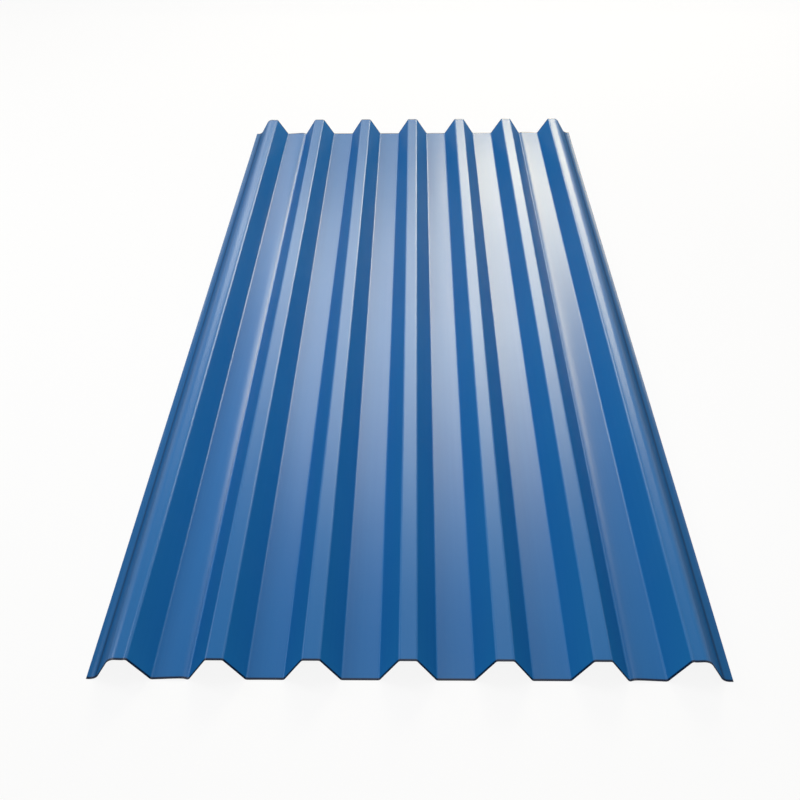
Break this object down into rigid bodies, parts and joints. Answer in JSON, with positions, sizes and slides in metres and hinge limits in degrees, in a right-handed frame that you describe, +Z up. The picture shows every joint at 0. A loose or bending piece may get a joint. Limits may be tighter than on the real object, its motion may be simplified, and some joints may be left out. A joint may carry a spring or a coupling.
{
  "type": "corrugated metal sheet",
  "caption": "Blue coated steel sheet roll-formed into even trapezoidal ribs, with a flat lip along each long edge, for roofs, walls and fences.",
  "frame": {"origin": "centre of the sheet's outline, on the level floor under its valleys", "axes": "+X across the ribs, +Y along the ribs, +Z up through the sheet"},
  "size_m": [0.845, 1.8, 0.04],
  "materials": {
    "coated_steel": "satin"
  },
  "bodies": {
    "root": {"corrugated_sheet": "coated_steel"}
  },
  "joints": []
}
